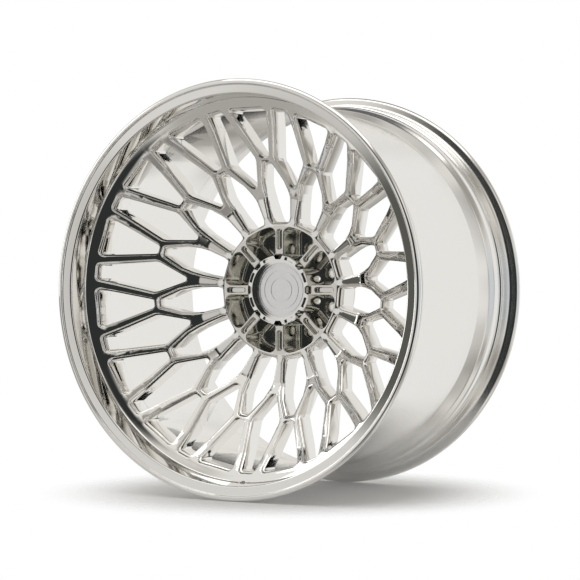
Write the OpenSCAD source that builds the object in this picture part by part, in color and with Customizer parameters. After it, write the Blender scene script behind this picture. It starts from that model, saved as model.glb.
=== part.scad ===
// Forged one-piece wheel rim with a pull-off centre cap.
// The wheel axis is the Y axis; the outboard face looks along -Y.
// Depths below are measured from the outboard flange face, going inboard.

/* [Rim size] */
// Bead seat diameter
bead_d = 716; // [700:1:730]
// Height of a flange above the bead seat
flange_h = 17.5; // [16:0.5:19]
// Overall width over both flanges
rim_w = 432; // [425:1:440]

/* [Spoke web] */
// Number of spoke modules round the wheel
modules_n = 15; // [15:1:15]
// Radius where the cells end at the face ring
cell_r_out = 327; // [324:1:328]
// Radius of the crossings between neighbouring forks
cross_r = 239.5; // [236:0.5:243]
// Width of the material left at a crossing, along the radius
cross_t = 11; // [9:0.5:13]
// Radius of the inner tip of a long cell
fork_r = 195; // [190:1:200]
// Radius where the inner cells end at the hub
cell_r_in = 127; // [125:1:130]
// Corner radius of a cell
cell_fillet = 4.5; // [3:0.5:5]
// Width of the machined ledge round each cell
ledge_w = 3.5; // [2.5:0.5:4]
// Depth of the machined ledge below the spoke face
ledge_d = 6; // [4:0.5:8]
// Axial thickness of the spoke web
web_t = 44; // [36:1:48]

/* [Hub] */
// Hub bore diameter
bore_d = 121.5; // [120:0.1:123]
// Diameter of the bore that the cap's spigot plugs into
cap_bore_d = 119; // [118:0.1:120]
// Bolt circle diameter
pcd = 165.1; // [165:0.1:165.2]
// Number of lug holes
lugs_n = 8; // [8:1:8]
// Lug hole diameter
lug_d = 16; // [15:0.1:17]
// Mouth diameter of the conical lug seat
seat_d = 23; // [21:0.5:25]
// Outer radius of the scooped pockets round the lug seats
pocket_r = 118; // [114:0.5:118.5]
// Thickness of the radial webs between the pockets
web_w = 18; // [14:1:20]
// Depth of the hub mounting face
mount_z = 264; // [262:1:270]
// Depth of the lug seats and of the cap's floor
lug_z = 236; // [235:1:238]
// Valve hole diameter
valve_d = 11.5; // [11.3:0.1:11.7]

/* [Centre cap] */
// Outside diameter of the cap
cap_d = 130.8; // [128:0.2:131]
// Depth of the top of the cap
cap_z = 173; // [170:1:176]
// Depth of the badge plate's face
badge_z = 187; // [184:1:189]
// Diameter of the badge plate
badge_d = 102; // [98:1:103]

/* [Hidden] */
$fn = 96;
bead_r = bead_d / 2;
flange_r = bead_r + flange_h;
bore_r = bore_d / 2;
cap_bore_r = cap_bore_d / 2;
pcd_r = pcd / 2;
module_a = 360 / modules_n;
cap_r = cap_d / 2;
badge_r = badge_d / 2;
// The cap sits in a well with 1 mm of air round it, on a flat floor.
well_r = cap_r + 1;
well_z = lug_z;
hub_z = 178;
hub_r = 120;
hub_back_r = 124;
mount_r = 114;
// Radius where the spoke face turns steeper towards the lip.
flare_r = 300;
ring_r = 346;
ring_z = 48;
// Inner edge of the sloping flange face.
lip_r = 348.5;
lip_z = 6;
// Barrel between the two bead seats, outside and inside.
drop_r = 337;
barrel_in_r = 331;
bore_z = 250;
spigot_r = cap_bore_r - 0.35;
spigot_end = bore_z - 1;
o_wire = 1.8;
o_r = cap_bore_r - 0.05 - o_wire;
o_z = 240.6;
clip_wire = 1.2;
clip_r = cap_bore_r - 0.1 - clip_wire;
clip_z = 246.4;
spigot_in_r = 53;
// Hexagonal notches and shallow windows in the cap's outer ring.
notch_r = 10.5;
notch_deep = 33;
window_a = 18;
window_w = 6;
window_deep = 5;
// Slots in the tops of the webs, by the radii of their end centres.
slot_r = 5;
slot_in = 80;
slot_out = 108;
slot_deep = 10;
// Valve hole: where its axis meets the lip's corner, and its lean.
valve_r = 346.5;
valve_z = 45;
valve_lean = 30;
spot_d = 18;

// Depth of the spoke face at radius r: a dished cone that turns flatter inside the forks.
function face_z(r) = lookup(r, [
    [cell_r_in, 180], [175, 170], [cross_r, 125], [flare_r, 82], [cell_r_out, 58],
    [ring_r, ring_z]
]);

// Turns a shape drawn about Z, depth upwards, on to the wheel axis.
module on_axis() {
    translate([0, -rim_w / 2, 0]) rotate([-90, 0, 0]) children();
}

function polar(r, a) = [r * cos(a), r * sin(a)];

// A cell outline, mirrored about its centre line, from [radius, half angle] pairs.
function outline(pairs) = concat(
    [for (p = pairs) polar(p[0], p[1])],
    [for (i = [len(pairs) - 1:-1:0]) polar(pairs[i][0], -pairs[i][1])]
);

long_cell = [[cell_r_out, 2.3], [cross_r + 4, 6.7], [cross_r - 2, 6.5], [fork_r, 1.0]];
short_cell = [[cell_r_out, 6.3], [cross_r + cross_t / 2, 1.7]];
inner_cell = [
    [cross_r - cross_t / 2, 1.7], [202, 5.9], [184, 7.3], [168, 8.0], [136, 8.3], [cell_r_in, 7.2]
];

module cell_2d(pairs, grow) {
    offset(r = cell_fillet + grow, $fn = 20) offset(delta = -cell_fillet) polygon(outline(pairs));
}

module cells_2d(grow) {
    for (i = [0:modules_n - 1]) {
        rotate(90 + i * module_a) cell_2d(long_cell, grow);
        rotate(90 + (i + 0.5) * module_a) cell_2d(short_cell, grow);
        rotate(90 + (i + 0.5) * module_a) cell_2d(inner_cell, grow);
    }
}

// Section of the forging, barrel, spoke web and hub in one outline.
module section_2d() {
    w = rim_w;
    polygon([
        [flange_r - 4, 0], [flange_r, 4], [flange_r, 9], [flange_r - 3.5, 13.5], [bead_r + 3.5, 16],
        [bead_r, 19], [bead_r - 2.2, 44], [bead_r + 0.3, 48], [bead_r + 0.3, 51], [bead_r - 4, 56],
        [drop_r, 84], [drop_r, 322], [346, 352], [353, 362], [bead_r - 4, 378],
        [bead_r + 0.3, w - 51], [bead_r + 0.3, w - 48], [bead_r - 2.2, w - 44], [bead_r, w - 19],
        [bead_r + 3.5, w - 16], [flange_r - 3.5, w - 13.5], [flange_r, w - 9], [flange_r, w - 4],
        [flange_r - 4, w], [352, w], [349.5, w - 4], [349, 405], [344, 372], [338, 345], [barrel_in_r, 320],
        [barrel_in_r, 112], [cell_r_out, face_z(cell_r_out) + web_t],
        [flare_r, face_z(flare_r) + web_t], [cross_r, face_z(cross_r) + web_t],
        [175, face_z(175) + web_t], [140, 230], [hub_back_r, 238],
        [mount_r, mount_z], [bore_r, mount_z], [bore_r, bore_z], [cap_bore_r, bore_z],
        [cap_bore_r, well_z], [well_r, well_z], [well_r, hub_z], [hub_r, hub_z],
        [cell_r_in, face_z(cell_r_in)], [175, face_z(175)], [cross_r, face_z(cross_r)],
        [flare_r, face_z(flare_r)], [cell_r_out, face_z(cell_r_out)], [ring_r, ring_z], [lip_r, lip_z],
        [flange_r - 10, 3], [flange_r - 9, 0]
    ]);
}

// The layer of the spoke face that the ledges are milled out of.
module ledge_layer_2d() {
    r0 = cell_r_in - ledge_w - 1;
    r1 = cell_r_out + ledge_w + 1;
    polygon([
        [r0, 140], [r1, 30], [r1, face_z(r1) + ledge_d], [flare_r, face_z(flare_r) + ledge_d],
        [cross_r, face_z(cross_r) + ledge_d],
        [175, face_z(175) + ledge_d], [r0, face_z(cell_r_in) + ledge_d]
    ]);
}

// Eight scooped pockets, parted by parallel-sided webs.
module pockets_2d() {
    offset(r = 12, $fn = 32) offset(delta = -12) difference() {
        circle(r = pocket_r, $fn = 180);
        for (i = [0:lugs_n - 1]) rotate(i * 360 / lugs_n)
            translate([0, -web_w / 2]) square([pocket_r + 1, web_w]);
    }
}

module lug_cuts() {
    translate([0, 0, hub_z - 28]) linear_extrude(height = lug_z - hub_z + 28) pockets_2d();
    for (i = [0:lugs_n - 1]) rotate((i + 0.5) * 360 / lugs_n) translate([pcd_r, 0, 0]) {
        translate([0, 0, lug_z - 1]) cylinder(d = lug_d, h = 60);
        // 60 degree conical seat
        translate([0, 0, lug_z]) cylinder(d1 = seat_d, d2 = lug_d, h = (seat_d - lug_d) / 2 / tan(30));
    }
}

// Round-ended slots in the tops of the webs between the lugs.
module web_cuts() {
    for (i = [0:lugs_n - 1]) rotate(i * 360 / lugs_n) {
        for (r = [slot_in, slot_out])
            translate([r, 0, hub_z - 5]) cylinder(r = slot_r, h = slot_deep + 5);
        translate([slot_in, -slot_r, hub_z - 5]) cube([slot_out - slot_in, 2 * slot_r, slot_deep + 5]);
    }
}

// Valve hole, tilted outwards, with its spot face in the corner below the lip.
module valve_cuts() {
    rotate(90) translate([valve_r, 0, valve_z]) rotate([0, valve_lean, 0]) {
        translate([0, 0, -8]) cylinder(d = spot_d, h = 9);
        translate([0, 0, -1]) cylinder(d = valve_d, h = 40);
    }
}

module forged_rim() {
    color("silver") on_axis() difference() {
        rotate_extrude($fn = 180) section_2d();
        linear_extrude(height = 300) cells_2d(0);
        intersection() {
            rotate_extrude($fn = 180) ledge_layer_2d();
            linear_extrude(height = 300) cells_2d(ledge_w);
        }
        lug_cuts();
        web_cuts();
        valve_cuts();
    }
}

module cap_body() {
    color("gainsboro") on_axis() difference() {
        rotate_extrude() polygon([
            [0, badge_z + 3], [badge_r, badge_z + 3], [badge_r, badge_z - 4], [badge_r + 2.5, badge_z - 4],
            [badge_r + 2.5, badge_z - 9], [badge_r + 4.5, badge_z - 9], [badge_r + 4.5, cap_z],
            [cap_r - 1.5, cap_z], [cap_r, cap_z + 1.5], [cap_r, well_z], [spigot_r, well_z],
            [spigot_r, spigot_end - 1], [spigot_r - 1, spigot_end], [spigot_in_r, spigot_end],
            [spigot_in_r, badge_z + 10],
            [0, badge_z + 10]
        ]);
        for (i = [0:lugs_n - 1]) rotate(i * 360 / lugs_n) {
            translate([cap_r + 0.5, 0, cap_z - 1]) rotate(30)
                cylinder(r = notch_r, h = notch_deep + 1, $fn = 6);
        }
        for (i = [0:lugs_n - 1]) rotate((i + 0.5) * 360 / lugs_n - window_a / 2) {
            rotate_extrude(angle = window_a)
                translate([badge_r + 6, cap_z - 1]) square([window_w, window_deep + 1]);
        }
        translate([0, 0, o_z - 2.1]) difference() {
            cylinder(r = spigot_r + 1, h = 4.2);
            translate([0, 0, -1]) cylinder(r = o_r - o_wire + 0.1, h = 6.2);
        }
        translate([0, 0, clip_z - 1.4]) difference() {
            cylinder(r = spigot_r + 1, h = 2.8);
            translate([0, 0, -1]) cylinder(r = clip_r - clip_wire + 0.1, h = 4.8);
        }
    }
}

// Plain plate with neutral turned rings in place of any mark.
module cap_badge_plate() {
    color("whitesmoke") on_axis() difference() {
        translate([0, 0, badge_z]) cylinder(r = badge_r, h = 3);
        for (r = [22, 36, 46]) translate([0, 0, badge_z - 1]) difference() {
            cylinder(r = r + 0.75, h = 1.8);
            translate([0, 0, -1]) cylinder(r = r - 0.75, h = 4);
        }
    }
}

module cap_o_ring() {
    color("black") on_axis() translate([0, 0, o_z])
        rotate_extrude() translate([o_r, 0]) circle(r = o_wire, $fn = 32);
}

module cap_retaining_ring() {
    color("gray") on_axis() translate([0, 0, clip_z]) rotate(15)
        rotate_extrude(angle = 330) translate([clip_r, 0]) circle(r = clip_wire, $fn = 32);
}

forged_rim();
cap_body();
cap_badge_plate();
cap_o_ring();
cap_retaining_ring();
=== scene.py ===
import math
import bpy
import bmesh
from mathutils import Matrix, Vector
from mathutils.geometry import delaunay_2d_cdt


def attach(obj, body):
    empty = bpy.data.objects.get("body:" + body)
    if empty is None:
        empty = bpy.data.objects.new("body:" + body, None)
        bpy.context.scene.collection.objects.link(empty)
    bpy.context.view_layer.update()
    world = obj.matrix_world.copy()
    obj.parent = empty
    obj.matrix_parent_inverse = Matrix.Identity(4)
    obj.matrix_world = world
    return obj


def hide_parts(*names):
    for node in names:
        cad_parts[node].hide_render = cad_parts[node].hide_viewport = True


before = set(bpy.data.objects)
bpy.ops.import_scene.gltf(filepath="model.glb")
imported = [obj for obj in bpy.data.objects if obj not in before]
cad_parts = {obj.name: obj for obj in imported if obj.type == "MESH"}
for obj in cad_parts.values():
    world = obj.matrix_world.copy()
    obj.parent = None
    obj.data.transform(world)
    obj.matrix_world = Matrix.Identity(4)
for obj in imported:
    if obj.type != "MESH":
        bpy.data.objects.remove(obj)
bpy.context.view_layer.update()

# ---------------------------------------------------------------- dimensions (mm)
# Radii from the wheel axis and depths inboard of the outboard flange face.
WIDTH = 432.0
BEAD_R, FLANGE_R = 358.0, 375.5
MODULES, LUGS = 15, 8

# Spoke cells: their ends, the crossings and forks of the spokes, and the ledge inside each cell.
CELL_OUT, CELL_IN, CROSS_R, FORK_R = 327.0, 127.0, 239.5, 195.0
CROSS_HALF = 5.5
FILLET, LEDGE_W, LEDGE_D = 4.5, 3.5, 6.0
SIDE_STEP = 5

# Spoke web: where its face bends, its thickness, and where its two skins begin and end.
BEND_R, FLARE_R, WEB_T = 175, 300.0, 44.0
FRONT_IN, FRONT_OUT = 120.5, 336.0
WEB_IN, WEB_OUT = 124.0, 331.0
BACK_ROUND = 1.2

# Face ring, lip and barrel.
RING_R, RING_Z = 346.0, 48.0
LIP_R, LIP_Z = 348.5, 6.0
DROP_R = 337
EDGE_ROUND = 3.0

# Hub: front face, cap well, bores, lug holes, and the lug pockets with the webs between them.
HUB_Z, HUB_R, FLOOR_Z, MOUNT_Z = 178.0, 120.0, 236.0, 264.0
HUB_EDGE = 0.4
WELL_R, CAP_BORE_R, BORE_R, BORE_Z = 66.4, 59.5, 60.75, 250.0
PCD_R, SEAT_R, SEAT_DEEP, LUG_R = 82.55, 11.5, 6, 8.0
POCKET_R, POCKET_FILLET, WEB_HALF = 118.0, 12.0, 9.0
POCKET_ROUND = 8.0
MOUNT_R, MOUNT_EDGE = 114, 2

# Slots in the tops of the hub's webs.
SLOT_IN, SLOT_OUT, SLOT_HALF = 75, 113, 5
SLOT_FILLET, SLOT_DEEP, SLOT_ROUND = 4.2, 10, 1.5

# Valve hole: where its axis meets the corner below the lip, its lean in degrees, and its radii.
VALVE_R, VALVE_Z, VALVE_LEAN = 346.5, 45.0, 30.0
VALVE_BORE, VALVE_SPOT = 5.75, 9.0

# Points round a turned surface and round a hole, and the angle above which an edge is sharp.
SEGMENTS, HOLE_SEGMENTS = 720, 64
SHARP = math.radians(32)

# (radius, depth) along the dished spoke face, flatter inside the forks, and along its back.
FACE = [(HUB_R, HUB_Z), (CELL_IN, 180), (BEND_R, 170), (CROSS_R, 125), (FLARE_R, 82),
        (CELL_OUT, 58), (RING_R, RING_Z)]
BACK = [(WEB_IN, 238), (140, 230)] + [(r, z + WEB_T) for r, z in FACE[2:6]] + [(WEB_OUT, 112)]


def lerp_table(x, table):
    """The value at x on straight lines between (x, value) pairs."""
    for (x0, y0), (x1, y1) in zip(table, table[1:]):
        if x <= x1:
            return y0 + (y1 - y0) * (x - x0) / (x1 - x0)
    return table[-1][1]


def face_z(r):
    return lerp_table(r, FACE)


def back_z(r):
    return lerp_table(r, BACK)


def level(z):
    """A surface with the same depth at every radius."""
    return lambda r: z


def place(x, y, z):
    """Wheel drawing (x, y, depth) in mm to the shared frame in metres."""
    return Vector((x, z - WIDTH / 2, -y)) / 1000.0


# ---------------------------------------------------------------- outlines
def rounded(points, fillet, grow, spacing, arc=6):
    """A convex outline with rounded corners, grown by a distance; growth adds no points."""
    n = len(points)
    area = sum(points[i][0] * points[(i + 1) % n][1] - points[(i + 1) % n][0] * points[i][1]
               for i in range(n))
    if area < 0:
        points = points[::-1]
    normals = []
    for i in range(n):
        dx = points[(i + 1) % n][0] - points[i][0]
        dy = points[(i + 1) % n][1] - points[i][1]
        length = math.hypot(dx, dy)
        normals.append((dy / length, -dx / length))
    loop = []
    arcs = []
    for i in range(n):
        a, b = normals[i - 1], normals[i]
        k = fillet / (1 + a[0] * b[0] + a[1] * b[1])
        cx, cy = points[i][0] - k * (a[0] + b[0]), points[i][1] - k * (a[1] + b[1])
        t0 = math.atan2(a[1], a[0])
        turn = (math.atan2(b[1], b[0]) - t0) % (2 * math.pi)
        rad = fillet + grow
        angles = [t0 + turn * j / arc for j in range(arc + 1)]
        arcs.append([(cx + rad * math.cos(t), cy + rad * math.sin(t)) for t in angles])
    for i in range(n):
        loop += arcs[i]
        p, q = points[i], points[(i + 1) % n]
        steps = max(1, int(math.hypot(q[0] - p[0], q[1] - p[1]) / spacing))
        s, e = arcs[i][-1], arcs[(i + 1) % n][0]
        loop += [(s[0] + (e[0] - s[0]) * j / steps, s[1] + (e[1] - s[1]) * j / steps)
                 for j in range(1, steps)]
    return loop


def turned(loop, angle):
    c, s = math.cos(angle), math.sin(angle)
    return [(x * c - y * s, x * s + y * c) for x, y in loop]


def mirrored(pairs):
    """An outline from (radius, half angle in degrees) pairs, mirrored about its centre line."""
    pts = [(r * math.cos(math.radians(a)), r * math.sin(math.radians(a))) for r, a in pairs]
    return pts + [(x, -y) for x, y in reversed(pts)]


LONG = mirrored([(CELL_OUT, 2.3), (CROSS_R + 4, 6.7), (CROSS_R - 2, 6.5), (FORK_R, 1.0)])
SHORT = mirrored([(CELL_OUT, 6.3), (CROSS_R + CROSS_HALF, 1.7)])
INNER = mirrored([(CROSS_R - CROSS_HALF, 1.7), (202, 5.9), (184, 7.3), (168, 8.0), (136, 8.3),
                  (CELL_IN, 7.2)])


def cells(grow):
    """Outlines of all the cells, grown by a distance."""
    half = math.pi / MODULES
    out = []
    for i in range(MODULES):
        base = math.pi / 2 + i * 2 * math.pi / MODULES
        out.append(turned(rounded(LONG, FILLET, grow, SIDE_STEP), base))
        out.append(turned(rounded(SHORT, FILLET, grow, SIDE_STEP), base + half))
        out.append(turned(rounded(INNER, FILLET, grow, SIDE_STEP), base + half))
    return out


def circle(r, n=SEGMENTS, cx=0.0, cy=0.0):
    angles = [2 * math.pi * i / n for i in range(n)]
    return [(cx + r * math.cos(t), cy + r * math.sin(t)) for t in angles]


def lug_circle(r, k):
    """A circle about the axis of one lug hole."""
    a = (k + 0.5) * 2 * math.pi / LUGS
    return circle(r, HOLE_SEGMENTS, PCD_R * math.cos(a), PCD_R * math.sin(a))


def well_outline(grow):
    """The cap well joined with eight scooped lug pockets, parted by parallel-sided webs.

    Growth below zero narrows the pockets only, for the radius at their bottoms.
    """
    well, half = WELL_R + max(grow, 0), WEB_HALF - grow
    fillet, outer = POCKET_FILLET + grow, POCKET_R + grow
    cx = math.sqrt((outer - fillet) ** 2 - (half + fillet) ** 2)
    cy = half + fillet
    lean = math.atan2(cy, cx)
    start = math.sqrt(well * well - half * half)
    side = [(start + (cx - start) * t / 8, half) for t in range(9)]
    bend = [(math.pi / 2 + lean) * t / 10 for t in range(1, 11)]
    side += [(cx + fillet * math.sin(u), cy - fillet * math.cos(u)) for u in bend]
    pitch = 2 * math.pi / LUGS
    sweep = [lean + (pitch - 2 * lean) * t / 16 for t in range(1, 16)]
    rim_arc = [(outer * math.cos(u), outer * math.sin(u)) for u in sweep]
    c, s = math.cos(pitch), math.sin(pitch)
    back = [(x * c + y * s, x * s - y * c) for x, y in reversed(side)]
    edge = math.asin(half / well)
    sweep = [pitch - edge + 2 * edge * t / 6 for t in range(1, 6)]
    well_arc = [(well * math.cos(u), well * math.sin(u)) for u in sweep]
    loop = []
    for i in range(LUGS):
        loop += turned(side + rim_arc + back + well_arc, i * pitch)
    return loop


def web_slots(grow):
    slot = [(SLOT_IN, -SLOT_HALF), (SLOT_OUT, -SLOT_HALF), (SLOT_OUT, SLOT_HALF), (SLOT_IN, SLOT_HALF)]
    return [turned(rounded(slot, SLOT_FILLET, grow, 3), i * 2 * math.pi / LUGS) for i in range(LUGS)]


# ---------------------------------------------------------------- mesh building
bm = bmesh.new()


def inside(point, loop):
    x, y = point
    hit = False
    for (x0, y0), (x1, y1) in zip(loop, loop[1:] + loop[:1]):
        if (y0 > y) != (y1 > y) and x < (x1 - x0) * (y - y0) / (y1 - y0) + x0:
            hit = not hit
    return hit


def in_box(point, box):
    return box[0] < point[0] < box[1] and box[2] < point[1] < box[3]


def fill(outer, holes, depth, facing_front, rings=()):
    """Fill between an outer loop and its holes on a surface whose depth depends on radius.

    Rings of extra points keep its triangles even, and stay clear of the holes.
    """
    clear = 2.0
    pts, edges = [], []
    for loop in [outer] + holes:
        k = len(pts)
        pts += loop
        edges += [(k + i, k + (i + 1) % len(loop)) for i in range(len(loop))]
    boxes = []
    for hole in holes:
        xs, ys = zip(*hole)
        boxes.append((min(xs) - clear, max(xs) + clear, min(ys) - clear, max(ys) + clear, hole))
    for r, n in rings:
        for p in circle(r, n):
            near = [b[4] for b in boxes if in_box(p, b)]
            if any(inside(p, hole) or min(math.hypot(p[0] - q[0], p[1] - q[1]) for q in hole) < clear
                   for hole in near):
                continue
            pts.append(p)
    # a plain patch is cut along its own outline; one with holes is sorted by triangle centres below
    kind = 0 if holes else 1
    vs, _, fs, _, _, _ = delaunay_2d_cdt([Vector(p) for p in pts], edges, [], kind, 1e-5)
    made = [bm.verts.new(place(v.x, v.y, depth(math.hypot(v.x, v.y)))) for v in vs]
    for f in fs:
        c = (sum(vs[i].x for i in f) / 3, sum(vs[i].y for i in f) / 3)
        if holes and not inside(c, outer):
            continue
        if any(in_box(c, b) and inside(c, b[4]) for b in boxes):
            continue
        order = f if facing_front else f[::-1]
        bm.faces.new([made[i] for i in order])


def skin(stack):
    """Join a stack of matching 3-D loops with quads."""
    rows = [[bm.verts.new(p) for p in loop] for loop in stack]
    for a, b in zip(rows, rows[1:]):
        n = len(a)
        for i in range(n):
            j = (i + 1) % n
            bm.faces.new([a[i], a[j], b[j], b[i]])


def at_depth(loop, depth):
    return [place(x, y, depth(math.hypot(x, y)) if callable(depth) else depth) for x, y in loop]


def lathe(profile):
    """Turn (radius, depth) points about the wheel axis."""
    skin([at_depth(circle(r), z) for r, z in profile])


def soften(profile, reach, arc=5):
    """Ease each corner of an open profile into a curve that starts up to a distance before it."""
    out = [profile[0]]
    for i in range(1, len(profile) - 1):
        p, c, q = Vector(profile[i - 1]), Vector(profile[i]), Vector(profile[i + 1])
        u, v = (p - c).normalized(), (q - c).normalized()
        cut = min(reach, (p - c).length * 0.45, (q - c).length * 0.45)
        a, b = c + u * cut, c + v * cut
        out += [tuple(a.lerp(c, t / arc).lerp(c.lerp(b, t / arc), t / arc)) for t in range(arc + 1)]
    return out + [profile[-1]]


def spoke_web():
    """Front face, back face, and a stepped, edge-rounded wall in each cell."""
    # how far the wall stands outside the cell's outline, and how deep below the spoke face
    steps = [(LEDGE_W + 1.3, 0.0), (LEDGE_W + 0.6, 0.25), (LEDGE_W + 0.1, 0.9), (LEDGE_W, 1.6),
             (LEDGE_W, LEDGE_D - 1.4), (LEDGE_W - 0.3, LEDGE_D - 0.5), (LEDGE_W - 1.2, LEDGE_D),
             (1.0, LEDGE_D), (0.3, LEDGE_D + 0.3), (0.0, LEDGE_D + 1.0)]
    grown = {g: cells(g) for g in {s[0] for s in steps} | {BACK_ROUND}}
    rings = [(r, 360) for r in range(128, 331, 6)] + [(BEND_R, 360), (CROSS_R, 360), (FLARE_R, 360)]
    fill(circle(FRONT_OUT), [circle(FRONT_IN)] + grown[steps[0][0]], face_z, True, rings)
    fill(circle(WEB_OUT), [circle(WEB_IN)] + grown[BACK_ROUND], back_z, False, rings)
    for k in range(len(grown[BACK_ROUND])):
        stack = [at_depth(grown[g][k], lambda r, d=d: face_z(r) + d) for g, d in steps]
        stack.append(at_depth(grown[0.0][k], lambda r: back_z(r) - BACK_ROUND))
        stack.append(at_depth(grown[BACK_ROUND][k], back_z))
        skin(stack)


def barrel():
    """Lip, flanges, bead seats and barrel, turned from one outline."""
    w = WIDTH
    lathe(soften([
        (FRONT_OUT, face_z(FRONT_OUT)), (RING_R, RING_Z), (LIP_R, LIP_Z), (FLANGE_R - 10, 3),
        (FLANGE_R - 9, 0), (FLANGE_R - 4, 0), (FLANGE_R, 4), (FLANGE_R, 9), (FLANGE_R - 3.5, 13.5),
        (BEAD_R + 3.5, 16), (BEAD_R, 19), (BEAD_R - 2.2, 44), (BEAD_R + 0.3, 48), (BEAD_R + 0.3, 51),
        (BEAD_R - 4, 56), (DROP_R, 84), (DROP_R, 322), (346, 352), (353, 362), (BEAD_R - 4, 378),
        (BEAD_R + 0.3, w - 51), (BEAD_R + 0.3, w - 48), (BEAD_R - 2.2, w - 44), (BEAD_R, w - 19),
        (BEAD_R + 3.5, w - 16), (FLANGE_R - 3.5, w - 13.5), (FLANGE_R, w - 9), (FLANGE_R, w - 4),
        (FLANGE_R - 4, w), (352, w), (349.5, w - 4), (349, 405), (344, 372), (338, 345), (331, 320),
        (WEB_OUT, back_z(WEB_OUT))], EDGE_ROUND))


def web_slot(k):
    """One rounded slot in the top of a web."""
    steps = ((0.8, 0), (0.3, 0.2), (0, 0.8), (0, SLOT_DEEP - SLOT_ROUND), (-SLOT_ROUND, SLOT_DEEP))
    skin([at_depth(web_slots(g)[k], HUB_Z + d) for g, d in steps])
    fill(web_slots(-SLOT_ROUND)[k], [], level(HUB_Z + SLOT_DEEP), True)


def lug_hole(k):
    """One lug hole with its conical seat."""
    steps = ((SEAT_R, FLOOR_Z), (LUG_R, FLOOR_Z + SEAT_DEEP), (LUG_R, MOUNT_Z))
    skin([at_depth(lug_circle(r, k), z) for r, z in steps])


def hub():
    """Front ring, well and lug pockets, slots, lug holes, bores and mounting face."""
    lathe([(FRONT_IN, face_z(FRONT_IN)), (HUB_R, HUB_Z + 0.1), (HUB_R - HUB_EDGE, HUB_Z)])
    fill(circle(HUB_R - HUB_EDGE), [well_outline(1.2)] + web_slots(0.8), level(HUB_Z), True)
    top_edge = ((1.2, 0), (0.5, 0.25), (0.1, 0.7), (0, 1.3))
    bottom_edge = [(POCKET_ROUND * (math.cos(t) - 1), FLOOR_Z + POCKET_ROUND * (math.sin(t) - 1))
                   for t in [math.radians(10 * k) for k in range(10)]]
    skin([at_depth(well_outline(g), HUB_Z + d) for g, d in top_edge]
         + [at_depth(well_outline(g), z) for g, z in bottom_edge])
    for k in range(LUGS):
        web_slot(k)
        lug_hole(k)
    seats = [lug_circle(SEAT_R, k) for k in range(LUGS)]
    fill(well_outline(-POCKET_ROUND), [circle(CAP_BORE_R)] + seats, level(FLOOR_Z), True)
    lathe([(CAP_BORE_R, FLOOR_Z), (CAP_BORE_R, BORE_Z), (BORE_R, BORE_Z), (BORE_R, MOUNT_Z)])
    studs = [lug_circle(LUG_R, k) for k in range(LUGS)]
    fill(circle(MOUNT_R - MOUNT_EDGE), [circle(BORE_R)] + studs, level(MOUNT_Z), False)
    lathe(soften([(MOUNT_R - MOUNT_EDGE, MOUNT_Z), (MOUNT_R, MOUNT_Z), (WEB_IN, 238)], 1.5))


spoke_web()
barrel()
hub()

bmesh.ops.remove_doubles(bm, verts=bm.verts, dist=2e-6)
bmesh.ops.recalc_face_normals(bm, faces=bm.faces)
open_edges = sum(1 for e in bm.edges if len(e.link_faces) != 2)
print("rim mesh: %d faces, %d edges not shared by two faces" % (len(bm.faces), open_edges))
mesh = bpy.data.meshes.new("polished_forged_rim")
bm.to_mesh(mesh)
bm.free()
rim = bpy.data.objects.new("polished_forged_rim", mesh)
bpy.context.scene.collection.objects.link(rim)
mesh.shade_smooth()
mesh.set_sharp_from_angle(angle=SHARP)


def drill(name, radius, start, end):
    """Cut a round hole along the valve's axis, between two distances (mm) from its mouth."""
    tilt = math.radians(VALVE_LEAN)
    mouth = place(0, VALVE_R, VALVE_Z)
    axis = Vector((0, math.cos(tilt), -math.sin(tilt)))
    tool_mesh = bpy.data.meshes.new(name)
    tool = bmesh.new()
    bmesh.ops.create_cone(tool, cap_ends=True, segments=HOLE_SEGMENTS, radius1=radius / 1000,
                          radius2=radius / 1000, depth=(end - start) / 1000)
    turn = Vector((0, 0, 1)).rotation_difference(axis).to_matrix().to_4x4()
    turn.translation = mouth + axis * (start + end) / 2000
    bmesh.ops.transform(tool, matrix=turn, verts=tool.verts)
    tool.to_mesh(tool_mesh)
    tool.free()
    cutter = bpy.data.objects.new(name, tool_mesh)
    bpy.context.scene.collection.objects.link(cutter)
    cut = rim.modifiers.new(name, "BOOLEAN")
    cut.operation = "DIFFERENCE"
    cut.solver = "EXACT"
    cut.object = cutter
    bpy.context.view_layer.objects.active = rim
    bpy.ops.object.modifier_apply(modifier=name)
    bpy.data.objects.remove(cutter)


# The valve hole and its spot face, cut through the corner below the lip.
drill("spot_face", VALVE_SPOT, -8, 1)
drill("valve_bore", VALVE_BORE, -1, 39)
rim.data.set_sharp_from_angle(angle=SHARP)


# ---------------------------------------------------------------- materials
def metal(name, color, rough, smear, scale, bump):
    """A metallic finish with a faint haze in its roughness and a very low bump."""
    mat = bpy.data.materials.new(name)
    mat.use_nodes = True
    nt = mat.node_tree
    bsdf = nt.nodes["Principled BSDF"]
    bsdf.inputs["Metallic"].default_value = 1.0
    bsdf.inputs["Base Color"].default_value = (*color, 1)
    coord = nt.nodes.new("ShaderNodeTexCoord")
    haze = nt.nodes.new("ShaderNodeTexNoise")
    haze.inputs["Scale"].default_value = scale
    haze.inputs["Detail"].default_value = 6
    span = nt.nodes.new("ShaderNodeMapRange")
    span.inputs["To Min"].default_value = rough
    span.inputs["To Max"].default_value = rough + smear
    nt.links.new(coord.outputs["Object"], haze.inputs["Vector"])
    nt.links.new(haze.outputs["Fac"], span.inputs["Value"])
    nt.links.new(span.outputs["Result"], bsdf.inputs["Roughness"])
    fine = nt.nodes.new("ShaderNodeTexNoise")
    fine.inputs["Scale"].default_value = scale * 25
    relief = nt.nodes.new("ShaderNodeBump")
    relief.inputs["Strength"].default_value = bump
    relief.inputs["Distance"].default_value = 0.0002
    nt.links.new(coord.outputs["Object"], fine.inputs["Vector"])
    nt.links.new(fine.outputs["Fac"], relief.inputs["Height"])
    nt.links.new(relief.outputs["Normal"], bsdf.inputs["Normal"])
    return mat


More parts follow.
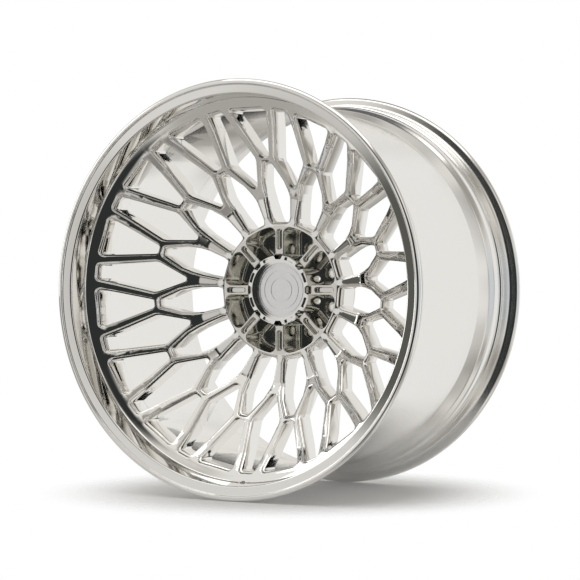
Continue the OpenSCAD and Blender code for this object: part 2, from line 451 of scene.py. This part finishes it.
def seal_rubber():
    """The metal finish turned into a dull black rubber."""
    mat = metal("seal_rubber", (0.02, 0.02, 0.02), 0.55, 0.20, 60, 0.30)
    mat.node_tree.nodes["Principled BSDF"].inputs["Metallic"].default_value = 0.0
    return mat


def turned_barrel():
    """Fine turning lines round the barrel, as the lathe leaves them before the tyre hides them."""
    mat = metal("turned_barrel_aluminium", (0.90, 0.89, 0.87), 0.10, 0.12, 12, 0.02)
    nt = mat.node_tree
    lines = nt.nodes.new("ShaderNodeTexWave")
    lines.bands_direction = "Y"
    lines.inputs["Scale"].default_value = 160
    lines.inputs["Distortion"].default_value = 0.4
    groove = nt.nodes.new("ShaderNodeBump")
    groove.inputs["Strength"].default_value = 0.05
    groove.inputs["Distance"].default_value = 0.0002
    nt.links.new(nt.nodes["Texture Coordinate"].outputs["Object"], lines.inputs["Vector"])
    nt.links.new(lines.outputs["Fac"], groove.inputs["Height"])
    nt.links.new(nt.nodes["Bump"].outputs["Normal"], groove.inputs["Normal"])
    nt.links.new(groove.outputs["Normal"], nt.nodes["Principled BSDF"].inputs["Normal"])
    return mat


polished = metal("polished_aluminium", (0.91, 0.90, 0.88), 0.02, 0.06, 9, 0.015)
brushed = metal("brushed_badge_aluminium", (0.88, 0.88, 0.89), 0.24, 0.10, 60, 0.10)
wire = metal("drawn_spring_wire", (0.55, 0.55, 0.57), 0.25, 0.15, 80, 0.10)
# The lug pocket metal is darker than the polished face. This is partly a duller milled finish and
# partly painted shade that darkens the recessed pockets.
milled_and_shaded_pocket = metal("milled_pocket_aluminium_with_painted_shade", (0.76, 0.75, 0.71), 0.06, 0.12, 40, 0.06)
rubber = seal_rubber()

POLISHED_SLOT, BARREL_SLOT, SHADED_POCKET_SLOT = 0, 1, 2
rim.data.materials.clear()
for finish in (polished, turned_barrel(), milled_and_shaded_pocket):
    rim.data.materials.append(finish)


def rim_slot(radius, depth):
    """The material slot of a face of the rim, from the radius and depth of its centre in mm."""
    # Faces inside the lug pockets take the darker pocket metal, whose darkness is partly painted
    # shade.
    if radius < POCKET_R + 0.5 and HUB_Z - 0.5 < depth < MOUNT_Z - 1:
        return SHADED_POCKET_SLOT
    bead_seat = depth > 17 and radius > 352
    drop_centre = depth > 66 and radius > 334
    inner_barrel = depth > WIDTH / 2 and radius > 329
    return BARREL_SLOT if bead_seat or drop_centre or inner_barrel else POLISHED_SLOT


for face in rim.data.polygons:
    c = face.center
    face.material_index = rim_slot(math.hypot(c.x, c.z) * 1000, c.y * 1000 + WIDTH / 2)
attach(rim, "rim")
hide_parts("forged_rim")
for node, mat in (("cap_body", polished), ("cap_badge_plate", brushed), ("cap_o_ring", rubber),
                  ("cap_retaining_ring", wire)):
    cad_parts[node].material_slots[0].material = mat

# ---------------------------------------------------------------- floor, light, camera
floor_mesh = bpy.data.meshes.new("studio_floor")
FLOOR, FLOOR_R = -FLANGE_R / 1000, 1.5
disc = [(FLOOR_R * math.cos(math.radians(a)), FLOOR_R * math.sin(math.radians(a)), 0)
        for a in range(0, 360, 3)]
floor_mesh.from_pydata(disc, [], [tuple(range(len(disc)))])
floor = bpy.data.objects.new("studio_floor", floor_mesh)
bpy.context.scene.collection.objects.link(floor)
# The floor thins out with distance into the white backdrop, so it has no horizon.
pale = bpy.data.materials.new("pale_floor")
pale.use_nodes = True
nt = pale.node_tree
base = nt.nodes["Principled BSDF"]
base.inputs["Base Color"].default_value = (0.85, 0.85, 0.85, 1)
base.inputs["Emission Color"].default_value = (1, 1, 1, 1)
base.inputs["Emission Strength"].default_value = 0.05
base.inputs["Roughness"].default_value = 0.6
clear = nt.nodes.new("ShaderNodeBsdfTransparent")
spot = nt.nodes.new("ShaderNodeTexCoord")
reach = nt.nodes.new("ShaderNodeVectorMath")
reach.operation = "LENGTH"
fade = nt.nodes.new("ShaderNodeMapRange")
fade.interpolation_type = "SMOOTHSTEP"
fade.inputs["From Min"].default_value = 0.22
fade.inputs["From Max"].default_value = 0.48
blend = nt.nodes.new("ShaderNodeMixShader")
nt.links.new(spot.outputs["Object"], reach.inputs[0])
nt.links.new(reach.outputs["Value"], fade.inputs["Value"])
nt.links.new(fade.outputs["Result"], blend.inputs["Fac"])
nt.links.new(base.outputs["BSDF"], blend.inputs[1])
nt.links.new(clear.outputs["BSDF"], blend.inputs[2])
nt.links.new(blend.outputs["Shader"], nt.nodes["Material Output"].inputs["Surface"])
floor_mesh.materials.append(pale)
floor.location.z = FLOOR

# Studio surroundings, seen only in reflections: a warm room with soft light and dark areas.
ROOM = (0.34, 0.325, 0.30, 1)
ROOM_LIGHT = (0.80, 0.78, 0.74, 1)
DARK = (0.028, 0.031, 0.030, 1)
# direction, the angles in degrees where an area ends and where its edge has faded, and its tone;
# a later area lies over an earlier one
AREAS = (
    ((0.50, -0.86, -0.05), 27, 38, DARK),
    ((0.05, -0.91, -0.42), 10, 22, DARK),
    ((0.05, -0.91, 0.42), 10, 22, DARK),
    ((0.99, -0.14, 0.0), 12, 26, (0.62, 0.66, 0.70, 1)),
    ((-0.45, -0.35, -0.82), 16, 34, (0.40, 0.39, 0.36, 1)),
    ((-0.5, -0.86, 0.05), 12, 30, (0.70, 0.69, 0.67, 1)),
    ((-0.55, -0.35, 0.75), 12, 22, (0.80, 0.79, 0.76, 1)),
    ((0.35, 0.93, 0.05), 30, 46, (0.86, 0.85, 0.83, 1)),
    ((-0.84, -0.54, 0.0), 9, 16, (0.10, 0.10, 0.09, 1)),
    ((-0.98, 0.16, 0.05), 8, 15, (0.12, 0.11, 0.10, 1)),
    ((-0.2, 0.3, 0.93), 10, 20, (0.10, 0.10, 0.11, 1)),
    ((0.2, -0.4, -0.9), 10, 24, (0.25, 0.24, 0.23, 1)),
)
world = bpy.data.worlds.new("studio")
bpy.context.scene.world = world
world.use_nodes = True
wn = world.node_tree
room = wn.nodes["Background"]
way = wn.nodes.new("ShaderNodeTexCoord")


def mixed(under, amount, tone):
    """Lay a tone over what is under it, or over the plain room where nothing is."""
    node = wn.nodes.new("ShaderNodeMix")
    node.data_type = "RGBA"
    node.inputs["B"].default_value = tone
    if under is None:
        node.inputs["A"].default_value = ROOM
    else:
        wn.links.new(under, node.inputs["A"])
    wn.links.new(amount, node.inputs["Factor"])
    return node.outputs["Result"]


def area(direction, inner, outer):
    """1 inside a cone of directions, fading to 0 at its rim; angles in degrees."""
    dot = wn.nodes.new("ShaderNodeVectorMath")
    dot.operation = "DOT_PRODUCT"
    dot.inputs[1].default_value = Vector(direction).normalized()
    wn.links.new(way.outputs["Generated"], dot.inputs[0])
    edge = wn.nodes.new("ShaderNodeMapRange")
    edge.interpolation_type = "SMOOTHSTEP"
    edge.inputs["From Min"].default_value = math.cos(math.radians(outer))
    edge.inputs["From Max"].default_value = math.cos(math.radians(inner))
    wn.links.new(dot.outputs["Value"], edge.inputs["Value"])
    return edge.outputs["Result"]


def clouds():
    """Slow changes of tone across the room."""
    noise = wn.nodes.new("ShaderNodeTexNoise")
    noise.inputs["Scale"].default_value = 2.4
    noise.inputs["Detail"].default_value = 1.0
    wn.links.new(way.outputs["Generated"], noise.inputs["Vector"])
    swing = wn.nodes.new("ShaderNodeMapRange")
    swing.inputs["From Min"].default_value = 0.40
    swing.inputs["From Max"].default_value = 0.60
    wn.links.new(noise.outputs["Fac"], swing.inputs["Value"])
    return swing.outputs["Result"]


shade = mixed(None, clouds(), ROOM_LIGHT)
for direction, inner, outer, tone in AREAS:
    shade = mixed(shade, area(direction, inner, outer), tone)
wn.links.new(shade, room.inputs["Color"])
# The camera itself sees a plain white backdrop.
backdrop = wn.nodes.new("ShaderNodeBackground")
backdrop.inputs["Color"].default_value = (1, 1, 1, 1)
seen = wn.nodes.new("ShaderNodeLightPath")
pick = wn.nodes.new("ShaderNodeMixShader")
wn.links.new(seen.outputs["Is Camera Ray"], pick.inputs["Fac"])
wn.links.new(room.outputs["Background"], pick.inputs[1])
wn.links.new(backdrop.outputs["Background"], pick.inputs[2])
wn.links.new(pick.outputs["Shader"], wn.nodes["World Output"].inputs["Surface"])


CENTRE = Vector((0, 0, 0))


def softbox(name, at, size, power):
    """A rectangular light that faces the middle of the wheel."""
    light = bpy.data.lights.new(name, "AREA")
    light.shape = "RECTANGLE"
    light.size, light.size_y = size
    light.energy = power
    obj = bpy.data.objects.new(name, light)
    obj.location = at
    obj.rotation_euler = (CENTRE - Vector(at)).to_track_quat("-Z", "Y").to_euler()
    bpy.context.scene.collection.objects.link(obj)


softbox("top_softbox", (0, -0.4, 2.6), (3.0, 2.0), 15)
softbox("left_softbox", (-2.6, -0.9, 0.9), (1.4, 2.0), 12)

camera = bpy.data.cameras.new("camera")
camera.sensor_width = 36
camera.lens = 124.0
eye = bpy.data.objects.new("camera", camera)
eye.location = (1.850, -3.241, 0.0)
eye.rotation_euler = (math.pi / 2, 0, math.radians(29.7))
bpy.context.scene.collection.objects.link(eye)
bpy.context.scene.camera = eye
bpy.context.scene.view_settings.view_transform = "Standard"
